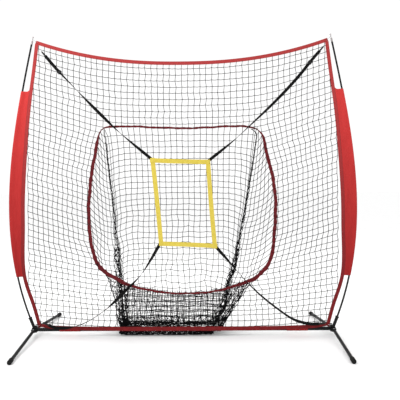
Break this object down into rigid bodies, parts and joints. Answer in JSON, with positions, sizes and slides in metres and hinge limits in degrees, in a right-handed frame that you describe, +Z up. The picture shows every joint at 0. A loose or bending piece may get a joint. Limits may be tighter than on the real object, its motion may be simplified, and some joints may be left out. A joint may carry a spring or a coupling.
{
  "type": "pitching target net",
  "caption": "Free-standing bow-frame practice net with a ball pocket, a strapped strike-zone frame in front of it, and base legs that fold in.",
  "frame": {"origin": "on the ground, midway between the two base brackets and between the front and rear feet", "axes": "+X across the net to the pitcher's right, +Y away from the pitcher, +Z up"},
  "size_m": [2.497, 1.06, 2.1583],
  "materials": {
    "powder_coat": "satin",
    "rubber": "matte",
    "steel": "satin",
    "fibreglass": "satin",
    "clear_plastic": "gloss",
    "net_cord": "matte",
    "red_webbing": "matte",
    "red_fabric": "satin",
    "maroon_binding": "matte",
    "yellow_webbing": "matte",
    "black_webbing": "matte",
    "black_plastic": "satin"
  },
  "bodies": {
    "frame": {"bar_centre": "powder_coat", "bar_end_left": "powder_coat", "base_bracket_left": "powder_coat", "bar_bolt_left": "steel", "pole_ferrule_lower_left": "steel", "pole_ferrule_upper_left": "steel", "corner_ring_top_left": "steel", "corner_ring_bottom_left": "steel", "pole_lower_left": "fibreglass", "pole_middle_left": "fibreglass", "pole_upper_left": "fibreglass", "pole_tip_left": "clear_plastic", "webbing_side_left": "red_webbing", "pole_sleeve_left": "red_fabric", "bar_sleeve_left": "red_fabric", "strap_slider_top_left": "black_plastic", "leg_rivet_front_left": "steel", "leg_rivet_rear_left": "steel", "bar_end_right": "powder_coat", "base_bracket_right": "powder_coat", "bar_bolt_right": "steel", "pole_ferrule_lower_right": "steel", "pole_ferrule_upper_right": "steel", "corner_ring_top_right": "steel", "corner_ring_bottom_right": "steel", "pole_lower_right": "fibreglass", "pole_middle_right": "fibreglass", "pole_upper_right": "fibreglass", "pole_tip_right": "clear_plastic", "webbing_side_right": "red_webbing", "pole_sleeve_right": "red_fabric", "bar_sleeve_right": "red_fabric", "strap_slider_top_right": "black_plastic", "leg_rivet_front_right": "steel", "leg_rivet_rear_right": "steel", "webbing_top": "red_webbing", "strap_top_left": "black_webbing", "net_hook_top_left": "black_plastic", "strap_top_right": "black_webbing", "net_hook_top_right": "black_plastic", "webbing_bottom": "red_webbing", "strap_bottom_left": "black_webbing", "net_hook_bottom_left": "black_plastic", "strap_bottom_right": "black_webbing", "net_hook_bottom_right": "black_plastic", "front_net": "net_cord", "pocket_net": "net_cord", "mouth_binding": "maroon_binding", "strike_zone": "yellow_webbing"},
    "front_left_leg": {"leg_front_left": "powder_coat", "foot_cap_front_left": "rubber"},
    "rear_left_leg": {"leg_rear_left": "powder_coat", "foot_cap_rear_left": "rubber"},
    "left_button": {"bar_button_left": "steel"},
    "front_right_leg": {"leg_front_right": "powder_coat", "foot_cap_front_right": "rubber"},
    "rear_right_leg": {"leg_rear_right": "powder_coat", "foot_cap_rear_right": "rubber"},
    "right_button": {"bar_button_right": "steel"}
  },
  "joints": [
    {"name": "front_left_leg_fold", "type": "hinge", "parent": "frame", "child": "front_left_leg", "pos_m": [-1.067, -0.038, 0.05], "axis": [0, 0, 1], "range_deg": [-3, 87]},
    {"name": "rear_left_leg_fold", "type": "hinge", "parent": "frame", "child": "rear_left_leg", "pos_m": [-1.067, 0.038, 0.05], "axis": [0, 0, -1], "range_deg": [-3, 87]},
    {"name": "front_right_leg_fold", "type": "hinge", "parent": "frame", "child": "front_right_leg", "pos_m": [1.067, -0.038, 0.05], "axis": [0, 0, -1], "range_deg": [-3, 87]},
    {"name": "rear_right_leg_fold", "type": "hinge", "parent": "frame", "child": "rear_right_leg", "pos_m": [1.067, 0.038, 0.05], "axis": [0, 0, 1], "range_deg": [-3, 87]},
    {"name": "left_button_press", "type": "slide", "parent": "frame", "child": "left_button", "axis": [0, 0, -1], "range_m": [0, 0.0046], "stiffness_N_per_m": 1500, "springref_m": -0.003},
    {"name": "right_button_press", "type": "slide", "parent": "frame", "child": "right_button", "axis": [0, 0, -1], "range_m": [0, 0.0046], "stiffness_N_per_m": 1500, "springref_m": -0.003}
  ]
}
